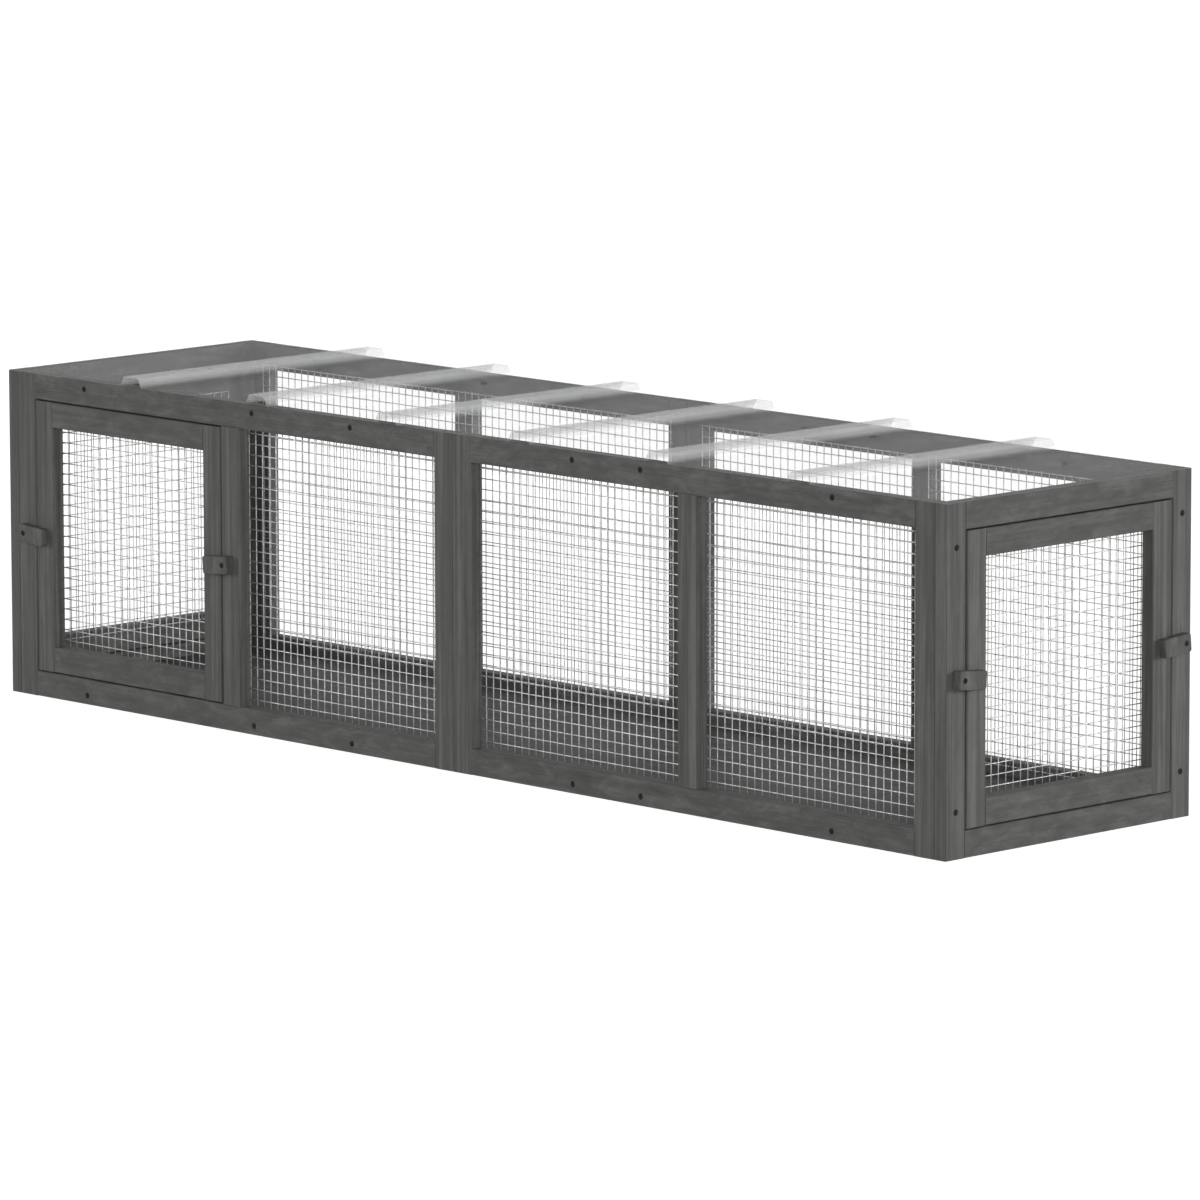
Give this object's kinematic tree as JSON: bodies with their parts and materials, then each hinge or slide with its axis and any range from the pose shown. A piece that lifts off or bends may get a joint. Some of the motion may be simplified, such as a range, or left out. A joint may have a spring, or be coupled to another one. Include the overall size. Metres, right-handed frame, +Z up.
{
  "type": "cat tunnel",
  "caption": "Long low timber-framed outdoor cat tunnel with wire mesh sides, solid floor, clear corrugated roof and lift-out mesh doors held by turn buttons.",
  "frame": {"origin": "middle of the footprint of the bounding box, on the ground under the bottom rails", "axes": "+X along the run, to the right as seen from the front; +Y from the front with its doorway to the back; +Z up"},
  "size_m": [1.8152, 0.4626, 0.4625],
  "materials": {
    "stained_wood": "dark grey-brown stain, matt, grain showing",
    "floor_panel": "dark grey-brown stain on board, matt, blotchy",
    "galvanised_wire": "galvanised, satin",
    "clear_sheet": "clear plastic sheet, slightly hazy",
    "dark_screws": "black-coated steel, satin"
  },
  "bodies": {
    "run": {"back_left_bottom_rail": "stained_wood", "back_left_centre_stile": "stained_wood", "back_left_mid_stile": "stained_wood", "back_left_outer_stile": "stained_wood", "back_left_top_rail": "stained_wood", "back_net_fourth_bay": "galvanised_wire", "back_net_left_half": "galvanised_wire", "back_net_third_bay": "galvanised_wire", "back_right_bottom_rail": "stained_wood", "back_right_centre_stile": "stained_wood", "back_right_mid_stile": "stained_wood", "back_right_outer_stile": "stained_wood", "back_right_top_rail": "stained_wood", "floor_board_left": "floor_panel", "floor_board_right": "floor_panel", "front_door_stops": "stained_wood", "front_left_bottom_rail": "stained_wood", "front_left_centre_stile": "stained_wood", "front_left_mid_stile": "stained_wood", "front_left_outer_stile": "stained_wood", "front_left_top_rail": "stained_wood", "front_net_right_half": "galvanised_wire", "front_net_second_bay": "galvanised_wire", "front_right_bottom_rail": "stained_wood", "front_right_centre_stile": "stained_wood", "front_right_mid_stile": "stained_wood", "front_right_outer_stile": "stained_wood", "front_right_top_rail": "stained_wood", "left_door_stops": "stained_wood", "left_end_back_stile": "stained_wood", "left_end_bottom_rail": "stained_wood", "left_end_front_stile": "stained_wood", "left_end_top_rail": "stained_wood", "pivot_screws": "dark_screws", "right_door_stops": "stained_wood", "right_end_back_stile": "stained_wood", "right_end_bottom_rail": "stained_wood", "right_end_front_stile": "stained_wood", "right_end_top_rail": "stained_wood", "roof_sheet": "clear_sheet"},
    "front_door_left_button": {"front_door_left_button": "stained_wood"},
    "front_door_leaf": {"front_door_net": "galvanised_wire", "front_door_rails": "stained_wood", "front_door_stiles": "stained_wood"},
    "front_door_right_button": {"front_door_right_button": "stained_wood"},
    "left_door_back_button": {"left_door_back_button": "stained_wood"},
    "left_door_front_button": {"left_door_front_button": "stained_wood"},
    "left_door_leaf": {"left_door_net": "galvanised_wire", "left_door_rails": "stained_wood", "left_door_stiles": "stained_wood"},
    "right_door_back_button": {"right_door_back_button": "stained_wood"},
    "right_door_front_button": {"right_door_front_button": "stained_wood"},
    "right_door_leaf": {"right_door_net": "galvanised_wire", "right_door_rails": "stained_wood", "right_door_stiles": "stained_wood"}
  },
  "joints": [
    {"name": "front_door_lift_out", "type": "slide", "parent": "run", "child": "front_door_leaf", "axis": [0, -1, 0], "range_m": [0, 0.45]},
    {"name": "left_door_lift_out", "type": "slide", "parent": "run", "child": "left_door_leaf", "axis": [-1, 0, 0], "range_m": [0, 0.45]},
    {"name": "right_door_lift_out", "type": "slide", "parent": "run", "child": "right_door_leaf", "axis": [1, 0, 0], "range_m": [0, 0.45]},
    {"name": "front_door_left_button_turn", "type": "hinge", "parent": "run", "child": "front_door_left_button", "pos_m": [-0.8535, -0.2187, 0.227], "axis": [0, -1, 0], "range_deg": [-90, 90]},
    {"name": "front_door_right_button_turn", "type": "hinge", "parent": "run", "child": "front_door_right_button", "pos_m": [-0.4415, -0.2187, 0.227], "axis": [0, -1, 0], "range_deg": [-90, 90]},
    {"name": "left_door_front_button_turn", "type": "hinge", "parent": "run", "child": "left_door_front_button", "pos_m": [-0.895, -0.1972, 0.227], "axis": [-1, 0, 0], "range_deg": [-90, 90]},
    {"name": "left_door_back_button_turn", "type": "hinge", "parent": "run", "child": "left_door_back_button", "pos_m": [-0.895, 0.2098, 0.227], "axis": [-1, 0, 0], "range_deg": [-90, 90]},
    {"name": "right_door_front_button_turn", "type": "hinge", "parent": "run", "child": "right_door_front_button", "pos_m": [0.895, -0.1972, 0.227], "axis": [1, 0, 0], "range_deg": [-90, 90]},
    {"name": "right_door_back_button_turn", "type": "hinge", "parent": "run", "child": "right_door_back_button", "pos_m": [0.895, 0.2098, 0.227], "axis": [1, 0, 0], "range_deg": [-90, 90]}
  ]
}
